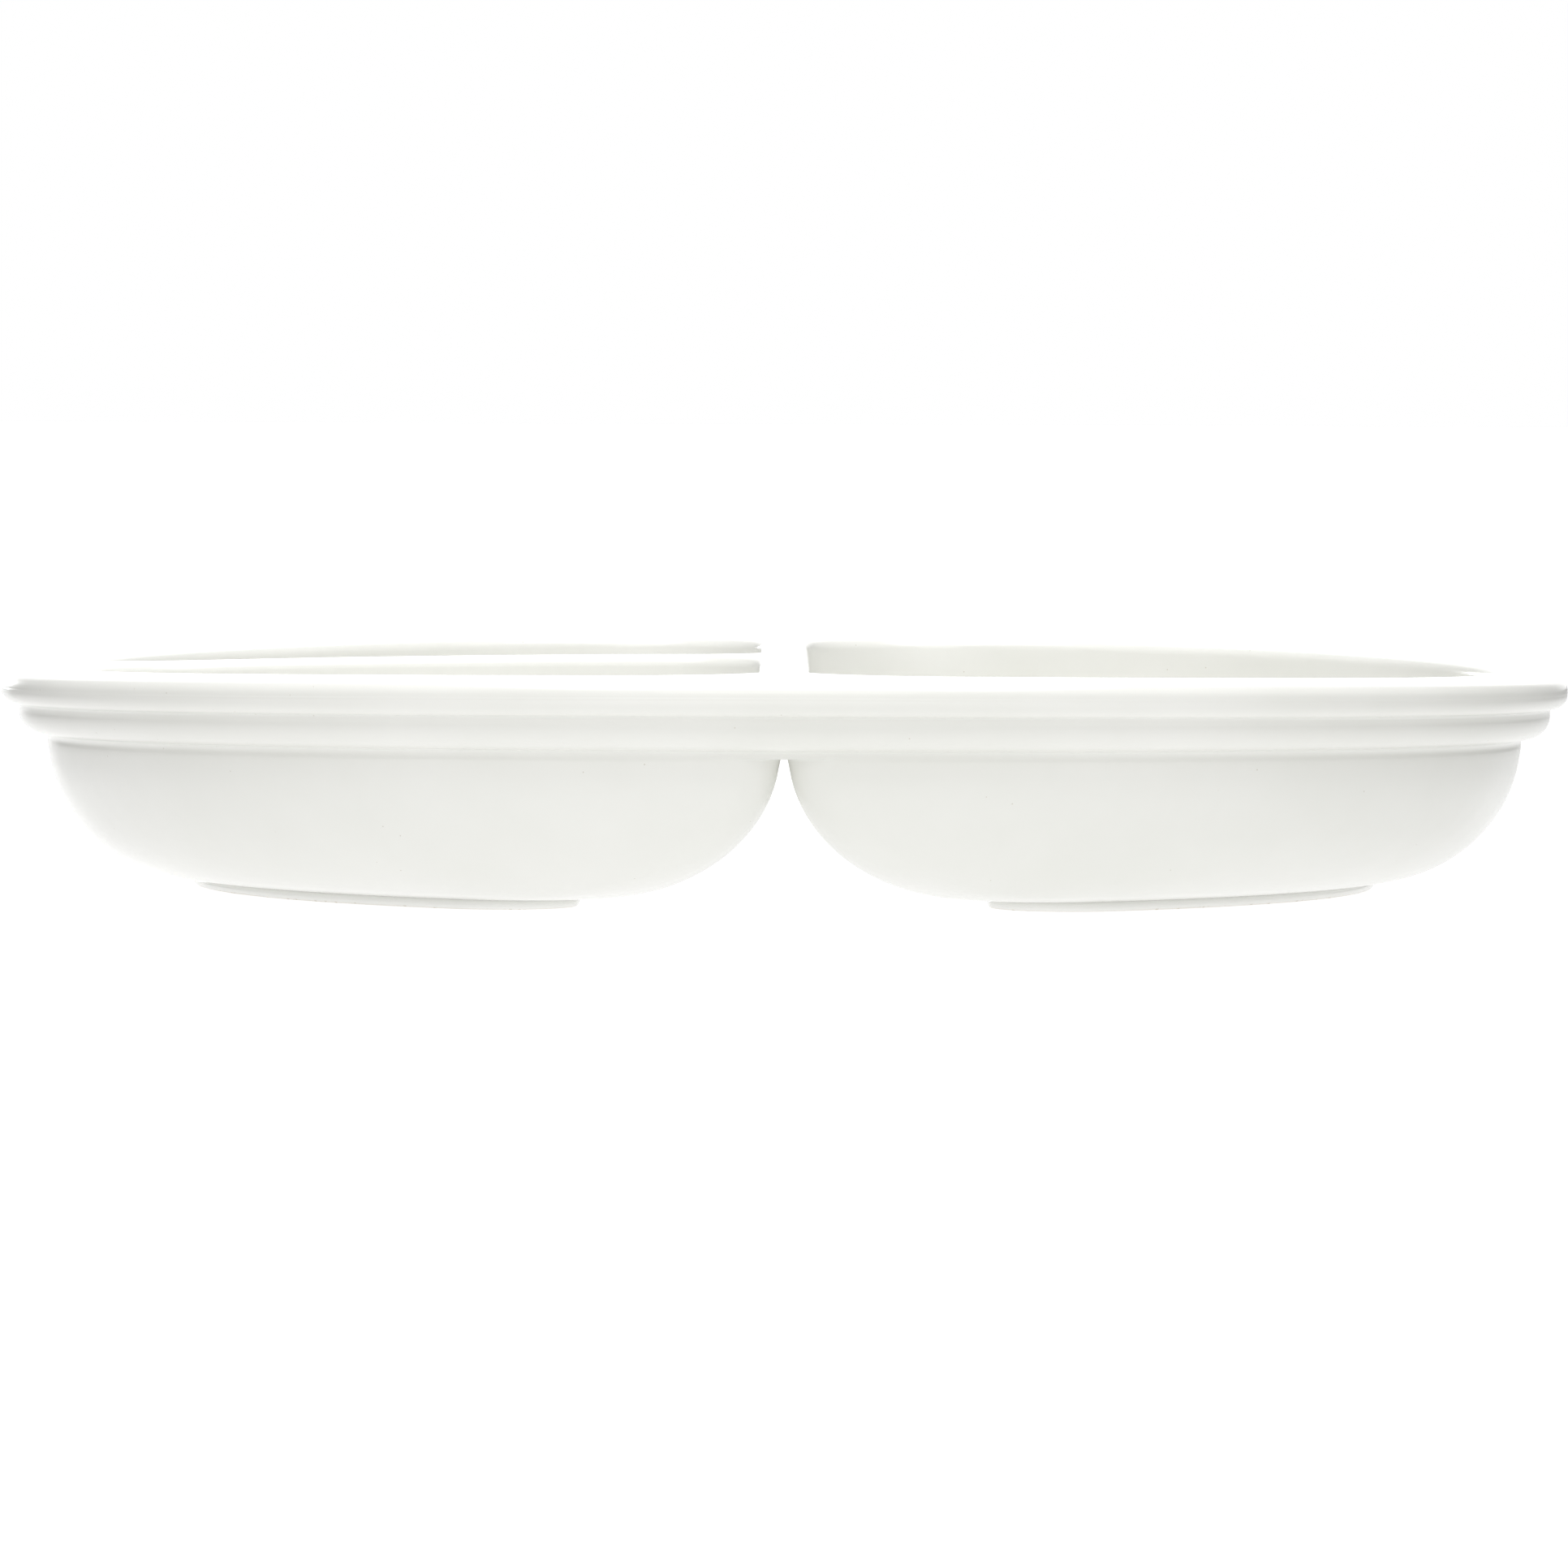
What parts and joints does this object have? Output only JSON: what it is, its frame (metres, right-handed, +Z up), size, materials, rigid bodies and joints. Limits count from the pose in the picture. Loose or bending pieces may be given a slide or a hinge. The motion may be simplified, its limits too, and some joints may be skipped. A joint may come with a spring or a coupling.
{
  "type": "chip and dip server",
  "caption": "Round divided serving dish in white glazed ceramic: a half-round chip well and two dip wells under one beaded rim, standing on low half-round foot rings.",
  "frame": {"origin": "on the resting plane, below the centre of the rim", "axes": "+Z up; -Y is the front; +X towards the chip well; the long divider runs along Y"},
  "size_m": [0.305, 0.305, 0.0447],
  "materials": {
    "glaze": "soft gloss white glaze with fine specks",
    "foot": "thinly glazed sides; bare fired clay on the resting edge is assumed"
  },
  "bodies": {
    "root": {"rim_bead": "glaze", "rim_band": "glaze", "long_divider": "glaze", "cross_divider": "glaze", "chip_well": "glaze", "dip_well": "glaze", "chip_well_foot": "foot", "dip_well_foot": "foot"}
  },
  "joints": []
}
